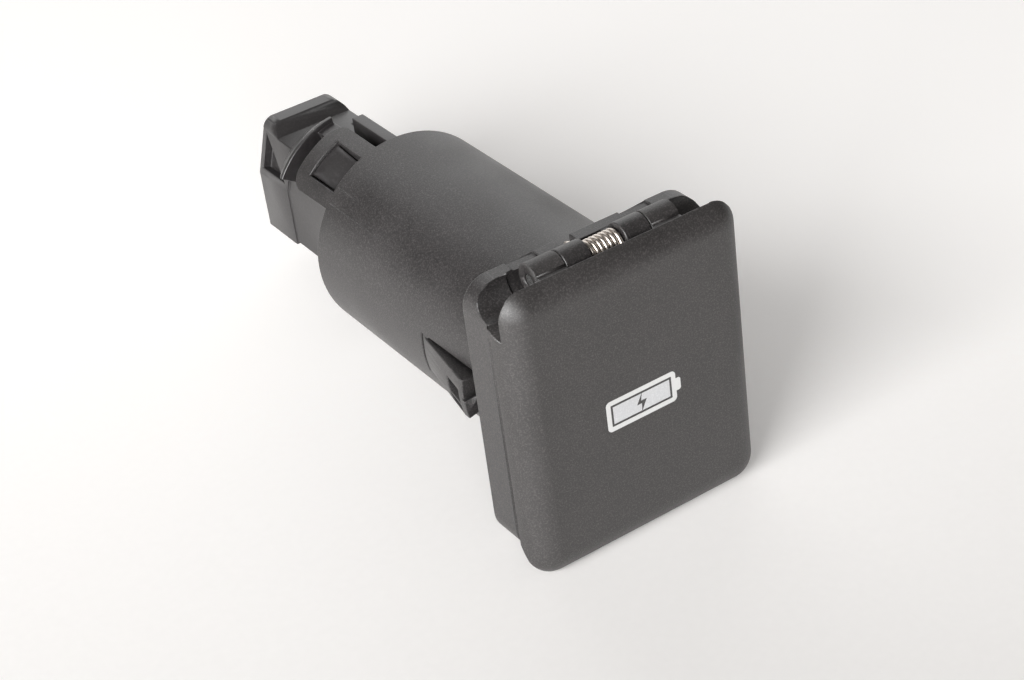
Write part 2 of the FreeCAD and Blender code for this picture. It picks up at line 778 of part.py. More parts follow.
parts = {
    "housing": housing(),
    "lid": lid(),
    "hinge_pin": hinge_pin(),
    "lid_spring": lid_spring(),
    "connector_body": connector_body(),
    "terminal_supply": terminal(terminal_spacing / 2),
    "terminal_ground": terminal(-terminal_spacing / 2),
    "circuit_board": circuit_board(),
    "port_fascia": port_fascia(),
    "usb_shell": usb_shell(),
    "usb_insulator": usb_insulator(),
    "usb_contacts_upper": port_contacts(upper_port, 1),
    "usb_contacts_lower": port_contacts(lower_port, 0),
    "power_choke": power_choke(),
    "input_capacitor": can_capacitor(input_can_diameter, input_can_height, input_can_x, input_can_y),
    "output_capacitor": can_capacitor(output_can_diameter, output_can_height, output_can_x, output_can_y),
    "rectifier_diode": on_board(diode_size, diode_x, diode_y),
    "fuse": under_board(fuse_size, 0, fuse_y),
    "converter_chip": leaded_chip(converter_size, converter_y, 4, converter_lead_pitch),
    "port_controller_chip": leaded_chip(controller_size, controller_y, 3, controller_lead_pitch),
    "ceramic_capacitors": Part.makeCompound(chip_row(ceramic_size, ceramic_x, small_parts_y, ceramic_count)),
    "chip_resistors": Part.makeCompound(chip_row(resistor_size, resistor_x, small_parts_y, resistor_count)),
}

os.makedirs("parts", exist_ok=True)
for name, shape in parts.items():
    shape.exportStep("parts/" + name + ".step")
    print(name, "solids", len(shape.Solids), "valid", shape.isValid(), "volume", round(shape.Volume, 1))
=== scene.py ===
# %% [markdown]
# # A USB charging socket for a car's panel
# The object is a small moulding: a square bezel with a sprung lid in front, a round barrel that
# snaps into a panel, and a boxed connector at the back. This lesson dresses the finished solids:
# it softens their edges, gives every finish its grain, winds the spring, prints the sign on the
# lid, and then lights and frames the picture.

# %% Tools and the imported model
import json
import math

import bmesh
import bpy
import numpy as np
from mathutils import Matrix, Vector


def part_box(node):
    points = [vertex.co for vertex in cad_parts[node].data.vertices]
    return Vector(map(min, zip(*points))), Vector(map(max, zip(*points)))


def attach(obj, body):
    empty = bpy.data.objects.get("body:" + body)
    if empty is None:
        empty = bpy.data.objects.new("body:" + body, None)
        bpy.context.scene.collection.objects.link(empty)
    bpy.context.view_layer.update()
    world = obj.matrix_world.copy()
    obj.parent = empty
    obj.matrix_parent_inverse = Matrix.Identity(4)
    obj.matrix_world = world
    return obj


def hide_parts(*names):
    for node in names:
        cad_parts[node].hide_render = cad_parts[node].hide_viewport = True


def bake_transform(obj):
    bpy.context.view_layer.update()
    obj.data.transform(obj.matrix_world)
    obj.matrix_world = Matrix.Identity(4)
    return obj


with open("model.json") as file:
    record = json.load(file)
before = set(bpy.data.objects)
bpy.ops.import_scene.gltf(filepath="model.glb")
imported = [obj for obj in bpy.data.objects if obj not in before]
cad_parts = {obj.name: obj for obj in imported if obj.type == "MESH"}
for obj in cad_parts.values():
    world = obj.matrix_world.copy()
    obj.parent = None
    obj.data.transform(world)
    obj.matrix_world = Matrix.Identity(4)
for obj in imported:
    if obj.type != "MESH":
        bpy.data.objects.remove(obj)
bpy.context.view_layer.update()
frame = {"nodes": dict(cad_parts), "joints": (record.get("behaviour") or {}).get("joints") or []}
solids = frame["nodes"]
scene = bpy.context.scene
MM = 0.001

# %% [markdown]
# Every new piece here starts as an array of points in millimetres. A grid of points with two
# parameters becomes a mesh by joining each point to its neighbours. Its columns run round and
# close, and its rows either close as well or end in a cap. Working on whole arrays keeps the
# shapes exact and the code short.

# %% From point grids to meshes
SAME_POINT = 1e-7


def add_object(name, data):
    """Put an object with this mesh, lamp or lens into the scene."""
    made = bpy.data.objects.new(name, data)
    scene.collection.objects.link(made)
    return made


def shade(mesh, smooth):
    """Shade a mesh as one smooth skin, or every face by itself."""
    mesh.polygons.foreach_set("use_smooth", np.full(len(mesh.polygons), smooth))


def add_mesh(name, points_mm, faces):
    """Make a piece from points in millimetres and lists of corner numbers."""
    mesh = bpy.data.meshes.new(name)
    mesh.from_pydata((np.asarray(points_mm) * MM).tolist(), [], faces)
    shade(mesh, True)
    mesh.update()
    return add_object(name, mesh)


def grid_faces(rows, columns, close_rows):
    """Quads: corner (i, j) joins (i, j + 1), (i + 1, j + 1) and (i + 1, j); open rows get caps."""
    i, j = np.indices((rows if close_rows else rows - 1, columns)).reshape(2, -1)
    here, below, right = i * columns, (i + 1) % rows * columns, (j + 1) % columns
    quads = np.stack([here + j, here + right, below + right, below + j], axis=1).tolist()
    ring = np.arange(columns)
    caps = [ring.tolist(), (ring + (rows - 1) * columns).tolist()]
    return quads if close_rows else quads + caps


def closed_piece(name, grid_mm, close_rows=False, smooth=True):
    """A piece with a closed skin from a grid of points, with all its faces turned outwards."""
    rows, columns = grid_mm.shape[:2]
    piece = add_mesh(name, grid_mm.reshape(-1, 3), grid_faces(rows, columns, close_rows))
    shape = bmesh.new()
    shape.from_mesh(piece.data)
    bmesh.ops.remove_doubles(shape, verts=shape.verts, dist=SAME_POINT)
    bmesh.ops.recalc_face_normals(shape, faces=shape.faces)
    shape.to_mesh(piece.data)
    shape.free()
    shade(piece.data, smooth)
    return piece


print("faces of a capped tube with 3 rings of 4 points:", len(grid_faces(3, 4, False)))

# %% [markdown]
# Every round form here keeps one distance from a core inside it: a line for a barrel or a knuckle,
# a smaller box for a cushion edge. The way from the nearest point of the core to a point of the
# skin is the direction the skin faces there.

# %% Cores of the round forms
ANYWHERE, TINY = 1e6, 1e-9
BEZEL_ROUNDING, LID_ROUNDING = 3.7, 3.8
LID_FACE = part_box("lid")[0].y / MM
hinge = np.array(frame["joints"][0]["pos_m"]) / MM


def inner_box(side, low_z, high_z, rounding, front=-ANYWHERE):
    """A form's outline drawn in by its rounding; with no front it runs right through in y."""
    low = np.array([-side + rounding, front, low_z + rounding])
    return low, np.array([side - rounding, ANYWHERE, high_z - rounding])


def away_from(points, core):
    """point - nearest point of the core, as a length and a unit vector."""
    away = points - np.clip(points, *core)
    length = np.linalg.norm(away, axis=1)
    return length, away / np.maximum(length, TINY)[:, None]


BARREL_CORE = ((0, -ANYWHERE, 0), (0, ANYWHERE, 0))
HINGE_CORE = ((-ANYWHERE, hinge[1], hinge[2]), (ANYWHERE, hinge[1], hinge[2]))
BEZEL_CORE = inner_box(side=16.6, low_z=-19.35, high_z=18.05, rounding=BEZEL_ROUNDING)
LID_CORE = inner_box(side=17.35, low_z=-21.35, high_z=20.15, rounding=LID_ROUNDING,
                     front=LID_FACE + LID_ROUNDING)
print("lid face at y, mm:", round(LID_FACE, 2))

# %% [markdown]
# A dark line parts the lid from the bezel: at the sides the lid has a lip that draws in behind its
# cushion edge, and the bezel's rim is stepped in to meet it, so no light finds its way there. Both
# are narrow steps. A pair of close cuts makes the riser, and the wall on one side of it moves in.

# %% The shadow gap
GAP_TOP, LIP_BOTTOM, CUT = 13.9, -17.3, 0.02
RIM_BACK, RIM_DEPTH = -5.05, 0.5
LIP_FRONT, LIP_DEPTH = LID_FACE + LID_ROUNDING, 0.75
BEZEL_FRONT, BEZEL_TOP, NEAR_SKIN, TOUCH = -6.0, 18.2, 0.25, 0.01


def step_in(shape, is_wall, cuts, moves):
    """Cut the wall's faces across at each (axis, place), then shift the points that move."""
    for axis, place in cuts:
        across = np.eye(3)[axis]
        walls = [face for face in shape.faces if all(is_wall(vert.co / MM) for vert in face.verts)]
        parts = set(walls).union(*(face.edges for face in walls), *(face.verts for face in walls))
        bmesh.ops.bisect_plane(shape, geom=list(parts), plane_co=across * place * MM,
                               plane_no=across)
    for vert in shape.verts:
        if is_wall(vert.co / MM):
            vert.co += Vector(moves(np.array(vert.co) / MM)) * MM


def bezel_rim(shape):
    """The bezel's outer walls move towards its core in front of the cut."""
    def outer(point):
        length = away_from(np.array([point]), BEZEL_CORE)[0][0]
        on_skin = length > BEZEL_ROUNDING - NEAR_SKIN
        return on_skin and BEZEL_FRONT < point[1] < TOUCH and point[2] < BEZEL_TOP

    def inwards(point):
        moved = point[1] < RIM_BACK - CUT / 2 and point[2] < GAP_TOP - CUT / 2
        return away_from(point[None], BEZEL_CORE)[1][0] * (-RIM_DEPTH if moved else 0.0)

    cuts = (1, RIM_BACK), (1, RIM_BACK - CUT), (2, GAP_TOP), (2, GAP_TOP - CUT)
    step_in(shape, outer, cuts, inwards)


def lid_lip(shape):
    """The lid's flat side walls move in behind the cut, from its lower corner to its relief."""
    side = max(abs(vert.co.x) for vert in shape.verts) / MM

    def outer(point):
        return abs(point[0]) > side - TOUCH

    def inwards(point):
        level = LIP_BOTTOM + CUT / 2 < point[2] < GAP_TOP - CUT / 2
        moved = level and point[1] > LIP_FRONT + CUT / 2
        return np.array([-np.sign(point[0]) * LIP_DEPTH if moved else 0.0, 0.0, 0.0])

    cuts = ((1, LIP_FRONT + CUT), (2, GAP_TOP), (2, GAP_TOP - CUT),
            (2, LIP_BOTTOM), (2, LIP_BOTTOM + CUT))
    step_in(shape, outer, cuts, inwards)


print("shadow gap between y, mm:", round(LIP_FRONT, 2), RIM_BACK)

# %% [markdown]
# Moulded plastic never has a knife-sharp edge: a tool's corner leaves a radius of a tenth of a
# millimetre or two, and that radius is what catches the light as a thin bright line. The solids
# keep their sharp edges, so the visible mouldings are copies of them with a narrow bevel. A bevel
# can overshoot where a cut meets it, so the copy's points are held inside the solid's own box.

# %% Softened copies of the mouldings
SAME_PLANE, SHARP = math.radians(0.4), math.radians(28)
SHORTEST, BEVEL_STEPS = 0.3, 2


def read(items, name, width, kind=float):
    """One attribute of all items as an array."""
    values = np.empty(len(items) * width, dtype=kind)
    items.foreach_get(name, values)
    return values.reshape(-1, width) if width > 1 else values


def softened(solid, edge_mm, cut=None):
    """A copy of a solid: flat faces joined up, cut where asked, and long sharp edges rounded."""
    shape = bmesh.new()
    shape.from_mesh(solids[solid].data)
    bmesh.ops.remove_doubles(shape, verts=shape.verts, dist=2 * SAME_POINT)
    bmesh.ops.dissolve_limit(shape, angle_limit=SAME_PLANE, verts=shape.verts, edges=shape.edges)
    rounded = shape.edges.layers.float.new("bevel_weight_edge")
    for edge in shape.edges:
        if edge.calc_face_angle(0) > SHARP and edge.calc_length() > SHORTEST * MM:
            edge[rounded] = 1.0
    if cut:
        cut(shape)
    sharp = bpy.data.meshes.new(solid + "_sharp")
    shape.to_mesh(sharp)
    shape.free()
    shade(sharp, True)
    piece = add_object(solid + "_moulding", sharp)
    bevel = piece.modifiers.new("edge", "BEVEL")
    bevel.width = edge_mm * MM
    bevel.segments = BEVEL_STEPS
    bevel.limit_method = "WEIGHT"
    bevel.use_clamp_overlap = False
    bevel.harden_normals = True
    seen = piece.evaluated_get(bpy.context.evaluated_depsgraph_get())
    piece.data = bpy.data.meshes.new_from_object(seen)
    piece.modifiers.clear()
    bpy.data.meshes.remove(sharp)
    low, high = (np.array(corner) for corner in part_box(solid))
    inside = np.clip(read(piece.data.vertices, "co", 3), low, high)
    piece.data.vertices.foreach_set("co", inside.ravel())
    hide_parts(solid)
    print(piece.name, "faces:", len(piece.data.polygons))
    return piece


housing = softened("housing", 0.14, cut=bezel_rim)
lid = softened("lid", 0.12, cut=lid_lip)
insert = softened("connector_body", 0.12)
fascia = softened("port_fascia", 0.12)
for piece in (housing, insert, fascia):
    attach(piece, "housing")
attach(lid, "lid")

# %% [markdown]
# A solid's mesh has flat facets where the real moulding is round, and light shows them as bands. So
# the corners of the faces that lie at one distance from a core are given the direction away from
# it as their normal.

# %% True normals on the round forms
EVEN_MM, FACING = 0.012, 0.97


def true_normals(piece, cores):
    """Corner normal = direction from the core, on faces at an even distance that face that way."""
    mesh = piece.data
    corner = read(mesh.loops, "vertex_index", 1, int)
    points = read(mesh.vertices, "co", 3)[corner] / MM
    starts = read(mesh.polygons, "loop_start", 1, int)
    totals = read(mesh.polygons, "loop_total", 1, int)
    flat = np.repeat(read(mesh.polygons, "normal", 3), totals, axis=0)
    normals = read(mesh.corner_normals, "vector", 3)
    changed = np.zeros(len(corner), dtype=bool)
    for core in cores:
        length, away = away_from(points, core)
        uneven = np.maximum.reduceat(length, starts) - np.minimum.reduceat(length, starts)
        agree = np.sum(flat * away, axis=1)
        least = np.minimum.reduceat(np.abs(agree), starts)
        chosen = np.repeat((uneven < EVEN_MM) & (least > FACING), totals) & ~changed
        normals[chosen] = np.sign(agree[chosen])[:, None] * away[chosen]
        changed |= chosen
    mesh.normals_split_custom_set(normals.tolist())
    print(piece.name, "corners on round forms:", int(changed.sum()), "of", len(corner))


true_normals(housing, (BARREL_CORE, HINGE_CORE, BEZEL_CORE))
true_normals(lid, (LID_CORE, HINGE_CORE))
true_normals(insert, (BARREL_CORE,))
true_normals(fascia, (BARREL_CORE,))

# %% [markdown]
# The finishes here share three causes: the tool's grain, settled dust and the streaks of drawn
# metal. Each cause becomes a node group with its own inputs, so one material can be coarse and dull
# and the next one smooth and shiny. A few helpers keep the groups short enough to read.

# %% Helpers for node trees
def fill(tree, made, sockets):
    """Fill a node's sockets with values or links."""
    for key, value in sockets.items():
        if isinstance(value, bpy.types.NodeSocket):
            tree.links.new(value, made.inputs[key])
        else:
            made.inputs[key].default_value = value


def node(tree, kind, sockets=None, **settings):
    """Add a node, set its properties, and fill its sockets."""
    made = tree.nodes.new(kind)
    for key, value in settings.items():
        setattr(made, key, value)
    fill(tree, made, sockets or {})
    return made


def scaled(tree, source, low, high, out_low, out_high):
    """Map a value from one range to another, held at the ends."""
    ends = {"From Min": low, "From Max": high, "To Min": out_low, "To Max": out_high}
    return node(tree, "ShaderNodeMapRange", {"Value": source, **ends}).outputs["Result"]


def combined(tree, operation, first, second, clamp=False):
    """One value from two, such as their sum or the larger of them."""
    return node(tree, "ShaderNodeMath", {0: first, 1: second},
                operation=operation, use_clamp=clamp).outputs[0]


def mixed(tree, share, first, second):
    """first (1 - share) + second share, for colours."""
    return node(tree, "ShaderNodeMix", {"Factor": share, "A": first, "B": second},
                data_type="RGBA").outputs["Result"]


def colour(red, green, blue):
    """A colour with full cover, as sockets want it."""
    return red, green, blue, 1.0


def new_group(name, inputs, outputs):
    """A shader node group with named sockets, and the nodes its content hangs on."""
    group = bpy.data.node_groups.new(name, "ShaderNodeTree")
    for label, kind, value in inputs:
        socket = group.interface.new_socket(name=label, in_out="INPUT", socket_type=kind)
        socket.default_value = value
    for label, kind in outputs:
        group.interface.new_socket(name=label, in_out="OUTPUT", socket_type=kind)
    start, end = group.nodes.new("NodeGroupInput"), group.nodes.new("NodeGroupOutput")
    return group, start.outputs, end


COLOUR, VALUE, VECTOR = "NodeSocketColor", "NodeSocketFloat", "NodeSocketVector"
SURFACE = [("Color", COLOUR), ("Roughness", VALUE), ("Height", VALUE)]
print("a surface group puts out:", [label for label, kind in SURFACE])

# %% [markdown]
# A tool for black plastic is spark eroded, so the moulding comes out with a fine grain that breaks
# up its shine, and handling leaves faint rubbed patches. Fine noise makes the grain and its paler
# flecks, and slow noise makes the patches. Noise in object coordinates needs no unwrapping.

# %% Moulding grain
def grain_group():
    """Height = fine noise; flecks are its peaks; colour and gloss also follow slow noise."""
    group, given, end = new_group(
        "moulding_grain",
        [("Dark", COLOUR, colour(0.03, 0.03, 0.03)), ("Light", COLOUR, colour(0.05, 0.05, 0.05)),
         ("Grain Scale", VALUE, 4000.0), ("Fleck", VALUE, 0.3),
         ("Rough Low", VALUE, 0.4), ("Rough High", VALUE, 0.5)], SURFACE)
    place = node(group, "ShaderNodeTexCoord").outputs["Object"]
    fine = node(group, "ShaderNodeTexNoise", {"Vector": place, "Scale": given["Grain Scale"],
                                              "Detail": 3.0, "Roughness": 0.65}).outputs["Fac"]
    slow = node(group, "ShaderNodeTexNoise", {"Vector": place, "Scale": 90.0,
                                              "Detail": 2.0}).outputs["Fac"]
    peaks = scaled(group, fine, 0.48, 0.68, 0.0, 1.0)
    flecks = combined(group, "MULTIPLY", peaks, given["Fleck"])
    patches = scaled(group, slow, 0.3, 0.7, 0.0, 0.15)
    share = combined(group, "ADD", flecks, patches, clamp=True)
    gloss = scaled(group, slow, 0.3, 0.7, given["Rough Low"], given["Rough High"])
    fill(group, end, {"Color": mixed(group, share, given["Dark"], given["Light"]),
                      "Roughness": gloss, "Height": fine})
    return group


GRAIN = grain_group()
print("node group:", GRAIN.name)

# %% [markdown]
# A few pale specks of dust lie on any black moulding, and without them it looks like a drawing.
# Voronoi cells scatter them: each cell has one centre and one number of its own, so a high number
# can pick out the few cells that hold a speck.

# %% Settled dust
def dust_group():
    """A speck sits where a cell's centre is very near and the cell's own number is high."""
    group, given, end = new_group(
        "settled_dust",
        [("Color", COLOUR, colour(0.03, 0.03, 0.03)), ("Dust", COLOUR, colour(0.5, 0.48, 0.45)),
         ("Cells", VALUE, 420.0), ("Rarity", VALUE, 0.8)], [("Color", COLOUR)])
    place = node(group, "ShaderNodeTexCoord").outputs["Object"]
    cells = node(group, "ShaderNodeTexVoronoi", {"Vector": place, "Scale": given["Cells"]}).outputs
    near = scaled(group, cells["Distance"], 0.018, 0.045, 1.0, 0.0)
    number = node(group, "ShaderNodeSeparateColor", {"Color": cells["Color"]}).outputs["Red"]
    rare = combined(group, "GREATER_THAN", number, given["Rarity"])
    speck = combined(group, "MULTIPLY", near, rare)
    fill(group, end, {"Color": mixed(group, speck, given["Color"], given["Dust"])})
    return group


DUST = dust_group()
print("node group:", DUST.name)

# %% [markdown]
# Wire is drawn through a die and sheet runs between rolls, and both leave streaks along the way the
# metal moved. Noise that is stretched along one axis gives such streaks.

# %% Drawn metal
def drawn_metal_group():
    """Noise at place * stretch: long streaks along one axis vary the colour and the gloss."""
    group, given, end = new_group(
        "drawn_metal",
        [("Dark", COLOUR, colour(0.4, 0.4, 0.4)), ("Light", COLOUR, colour(0.7, 0.7, 0.7)),
         ("Stretch", VECTOR, (200.0, 4000.0, 4000.0)),
         ("Rough Low", VALUE, 0.2), ("Rough High", VALUE, 0.35)], SURFACE)
    place = node(group, "ShaderNodeTexCoord").outputs["Object"]
    stretched = node(group, "ShaderNodeVectorMath", {0: place, 1: given["Stretch"]},
                     operation="MULTIPLY").outputs[0]
    streak = node(group, "ShaderNodeTexNoise", {"Vector": stretched, "Scale": 1.0,
                                                "Detail": 3.0}).outputs["Fac"]
    share = scaled(group, streak, 0.35, 0.65, 0.0, 1.0)
    gloss = scaled(group, share, 0.0, 1.0, given["Rough Low"], given["Rough High"])
    fill(group, end, {"Color": mixed(group, share, given["Dark"], given["Light"]),
                      "Roughness": gloss, "Height": share})
    return group


DRAWN = drawn_metal_group()
print("node group:", DRAWN.name)

# %% [markdown]
# A plastic's material is its grain, some dust, and one shader. The bump is only a few hundredths of
# a millimetre high: enough to break up the shine, too little to show as a shape. The print on the
# lid and the lacquer on the board are thin skins of plastic, so they are made the same way.

# %% Plastics
PLASTIC_SHINE, PLASTIC_RELIEF = 1.0, 0.04 * MM
PLASTICS = {
    # dark colour, light colour, grain scale, share of flecks, roughness, bump, rarity of dust
    "lid_black": ((0.015, 0.0133, 0.0131), (0.078, 0.0712, 0.0702),
                  5200.0, 0.85, (0.44, 0.54), 0.7, 0.93),
    "housing_black": ((0.007, 0.0061, 0.0062), (0.074, 0.0673, 0.0673),
                      5200.0, 0.85, (0.38, 0.48), 0.6, 0.93),
    "insert_black": ((0.016, 0.0144, 0.0148), (0.044, 0.0400, 0.0410),
                     3400.0, 0.5, (0.30, 0.40), 0.3, 0.95),
    "fascia_black": ((0.014, 0.014, 0.0145), (0.032, 0.032, 0.032),
                     4600.0, 0.6, (0.45, 0.55), 0.35, 0.97),
    "port_white": ((0.70, 0.70, 0.67), (0.80, 0.80, 0.78), 3000.0, 0.2, (0.35, 0.45), 0.1, 0.99),
    "chip_black": ((0.02, 0.02, 0.021), (0.045, 0.045, 0.045),
                   9000.0, 0.5, (0.5, 0.65), 0.4, 0.99),
    "ferrite_grey": ((0.07, 0.07, 0.073), (0.12, 0.12, 0.12), 6000.0, 0.5, (0.55, 0.7), 0.5, 0.99),
    "fuse_cream": ((0.62, 0.58, 0.47), (0.72, 0.68, 0.57), 5000.0, 0.3, (0.4, 0.5), 0.2, 0.99),
    "capacitor_tan": ((0.36, 0.24, 0.13), (0.46, 0.32, 0.19), 5000.0, 0.3, (0.3, 0.4), 0.15, 0.99),
    "board_green": ((0.012, 0.10, 0.035), (0.03, 0.17, 0.06), 900.0, 0.5, (0.25, 0.35), 0.1, 0.99),
    "print_white": ((0.68, 0.68, 0.675), (0.78, 0.78, 0.77), 5200.0, 0.4, (0.5, 0.6), 0.25, 0.95),
    "print_silver": ((0.58, 0.585, 0.60), (0.74, 0.745, 0.76),
                     5200.0, 0.6, (0.45, 0.55), 0.3, 0.95),
}


def finish(name, group, settings, shine, bump, relief, dust=None):
    """Colour, gloss and bump from one group into one shader, with dust over the colour if asked."""
    material = bpy.data.materials.new(name)
    material.use_nodes = True
    tree = material.node_tree
    surface = node(tree, "ShaderNodeGroup", settings, node_tree=group).outputs
    tint = surface["Color"]
    if dust:
        tint = node(tree, "ShaderNodeGroup", {"Color": tint, "Rarity": dust},
                    node_tree=DUST).outputs["Color"]
    bumps = node(tree, "ShaderNodeBump", {"Strength": bump, "Distance": relief,
                                          "Height": surface["Height"]}).outputs["Normal"]
    fill(tree, tree.nodes["Principled BSDF"],
         {"Base Color": tint, "Roughness": surface["Roughness"], "Normal": bumps, **shine})
    return material


def plastic(name, dark, light, grain, fleck, rough, bump, dust):
    """Grain group, then dust group, into one shader."""
    settings = {"Dark": colour(*dark), "Light": colour(*light), "Grain Scale": grain,
                "Fleck": fleck, "Rough Low": rough[0], "Rough High": rough[1]}
    shine = {"Specular IOR Level": PLASTIC_SHINE}
    return finish(name, GRAIN, settings, shine, bump, PLASTIC_RELIEF, dust)


finishes = {name: plastic(name, *values) for name, values in PLASTICS.items()}
print("plastics:", list(PLASTICS))

# %% [markdown]
# The metals differ in colour, in the way their streaks run, and in gloss. The spring is bright
# wire, the pin is plain steel, and the blades, the contacts and the ports' shell are plated sheet.

# %% Metals
METAL_BUMP, METAL_RELIEF = 0.1, 0.02 * MM
METALS = {
    # dark colour, light colour, scale of the streaks along x, y and z, roughness
    "spring_steel": ((0.60, 0.55, 0.50), (0.86, 0.79, 0.72), (900, 3000, 3000), (0.28, 0.38)),
    "pin_steel": ((0.35, 0.35, 0.35), (0.55, 0.55, 0.54), (300, 6000, 6000), (0.25, 0.4)),
    "tin_plate": ((0.58, 0.58, 0.56), (0.75, 0.75, 0.72), (5000, 400, 5000), (0.25, 0.4)),
    "nickel_plate": ((0.55, 0.54, 0.51), (0.72, 0.70, 0.66), (5000, 300, 5000), (0.18, 0.3)),
    "contact_gold": ((0.72, 0.48, 0.15), (0.86, 0.62, 0.24), (5000, 500, 5000), (0.15, 0.28)),
    "can_aluminium": ((0.6, 0.6, 0.61), (0.78, 0.78, 0.79), (3000, 3000, 300), (0.25, 0.38)),
}


def metal(name, dark, light, stretch, rough):
    """Drawn-metal group into one fully metallic shader."""
    settings = {"Dark": colour(*dark), "Light": colour(*light), "Stretch": stretch,
                "Rough Low": rough[0], "Rough High": rough[1]}
    return finish(name, DRAWN, settings, {"Metallic": 1.0}, METAL_BUMP, METAL_RELIEF)


finishes.update({name: metal(name, *values) for name, values in METALS.items()})
print("metals:", list(METALS))

# %% [markdown]
# Every piece is of one stuff, so each solid gets one finish.

# %% Dressing the pieces
SOLID_FINISHES = {
    "hinge_pin": "pin_steel", "terminal_supply": "tin_plate", "terminal_ground": "tin_plate",
    "circuit_board": "board_green", "usb_shell": "nickel_plate", "usb_insulator": "port_white",
    "usb_contacts_upper": "contact_gold", "usb_contacts_lower": "contact_gold",
    "power_choke": "ferrite_grey", "input_capacitor": "can_aluminium",
    "output_capacitor": "can_aluminium", "rectifier_diode": "chip_black", "fuse": "fuse_cream",
    "converter_chip": "chip_black", "port_controller_chip": "chip_black",
    "ceramic_capacitors": "capacitor_tan", "chip_resistors": "chip_black",
}


def dress(piece, look):
    """Give a piece one finish."""
    piece.data.materials.clear()
    piece.data.materials.append(finishes[look])


for name, look in SOLID_FINISHES.items():
    dress(solids[name], look)
dress(housing, "housing_black")
dress(lid, "lid_black")
dress(insert, "insert_black")
dress(fascia, "fascia_black")
print("dressed:", len(SOLID_FINISHES) + 4, "pieces")

# %% [markdown]
# The tool's slide that forms a latch tongue leaves two witness lines on the barrel, in line with
# the tongue's window and its edge. Each is a ridge a few hundredths of a millimetre high that dies
# away along the barrel, so a narrow profile is carried along the barrel and shrinks on its way.

# %% Witness lines on the barrel
BARREL_RADIUS, LINE_HALF_WIDTH, LINE_HEIGHT, LINE_RINGS = 14.25, 0.12, 0.045, 12
FOOT_DEPTH, ROOT_DEPTH = 0.02, 0.06
LINE_START = 42.6


def witness_line(name, degrees, end):
    """Ring k = foot, top, foot and root; top radius = barrel + height (1 - share along y)."""
    share = np.linspace(0, 1, LINE_RINGS)[:, None]
    angle = math.radians(degrees) + np.array([-1, 0, 1, 0]) * LINE_HALF_WIDTH / BARREL_RADIUS
    foot, root = np.full_like(share, -FOOT_DEPTH), np.full_like(share, -ROOT_DEPTH)
    radius = BARREL_RADIUS + np.hstack([foot, LINE_HEIGHT * (1 - share), foot, root])
    along = np.broadcast_to(LINE_START + share * (end - LINE_START), radius.shape)
    line = closed_piece(name, np.stack([-radius * np.sin(angle), along, radius * np.cos(angle)],
                                       axis=-1))
    dress(line, "housing_black")
    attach(line, "housing")
    print(name, "length, mm:", round(LINE_START - end, 1))


witness_line("window_witness", degrees=41.8, end=35.5)
witness_line("tongue_witness", degrees=51.4, end=30.0)

# %% [markdown]
# The lid's spring is one wire: a straight leg in the bezel's notch, a coil round the hinge pin, and
# a straight leg in the lid. A wire is a circle carried along a path, so the path comes first and
# the circle follows in the plane across it.

# %% The torsion spring
WIRE, COIL_RADIUS, COIL_LEFT, COIL_RIGHT, TURNS = 0.6, 1.45, -2.1, 2.0, 6
BACK_LEG, BACK_SLOPE, LID_LEG, LID_SLOPE = 4.0, 25.0, 4.6, 50.0
TURN_STEPS, LEG_STEPS, WIRE_SIDES = 40, 8, 14


def spring_path():
    """x runs evenly from leg to leg; the turn angle runs with it; the legs are tangents."""
    share = np.linspace(0, 1, TURNS * TURN_STEPS + 1)
    turn = np.radians(-BACK_SLOPE + share * (360 * TURNS + BACK_SLOPE + LID_SLOPE))
    coil = np.stack([COIL_LEFT + share * (COIL_RIGHT - COIL_LEFT),
                     hinge[1] - COIL_RADIUS * np.sin(turn),
                     hinge[2] + COIL_RADIUS * np.cos(turn)], axis=1)
    out = np.linspace(0, 1, LEG_STEPS)[:, None]
    back, fore = np.radians(BACK_SLOPE), np.radians(LID_SLOPE)
    first = coil[0] + (1 - out) * BACK_LEG * np.array([0, np.cos(back), -np.sin(back)])
    last = coil[-1] + out * LID_LEG * np.array([0, -np.cos(fore), -np.sin(fore)])
    return np.concatenate([first[:-1], coil, last[1:]])


def wire_along(path, radius):
    """Ring k = path k + radius (side cos a + up sin a), with side and up square to the path."""
    along = np.gradient(path, axis=0)
    along /= np.linalg.norm(along, axis=1, keepdims=True)
    side = np.cross(along, np.cross([1.0, 0, 0], along))
    side /= np.linalg.norm(side, axis=1, keepdims=True)
    up = np.cross(along, side)
    angle = np.linspace(0, 2 * np.pi, WIRE_SIDES, endpoint=False)[None, :, None]
    return path[:, None] + radius * (side[:, None] * np.cos(angle) + up[:, None] * np.sin(angle))


spring = closed_piece("lid_spring_wire", wire_along(spring_path(), WIRE / 2))
dress(spring, "spring_steel")
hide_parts("lid_spring")
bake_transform(spring)
print("spring faces:", len(spring.data.polygons))

# %% [markdown]
# The sign on the lid is pad printed: a generic battery with a spark in it. Print is a film a few
# hundredths of a millimetre thick, so each part of it is an outline with that thickness, set just
# into the lid's face. The frame of the battery is a band between two rounded rectangles.

# %% Outlines with the thickness of print
FILM, CORNER_STEPS = 0.03, 8


def rounded_rectangle(x0, x1, z0, z1, radius):
    """Corner centre + radius (cos a, sin a), a quarter turn for each corner in order."""
    turn = np.linspace(0, np.pi / 2, CORNER_STEPS)
    centres = np.array([[x1 - radius, z1 - radius], [x0 + radius, z1 - radius],
                        [x0 + radius, z0 + radius], [x1 - radius, z0 + radius]])
    angle = turn[None] + np.arange(4)[:, None] * np.pi / 2
    points = centres[:, None] + radius * np.stack([np.cos(angle), np.sin(angle)], axis=-1)
    return points.reshape(-1, 2)


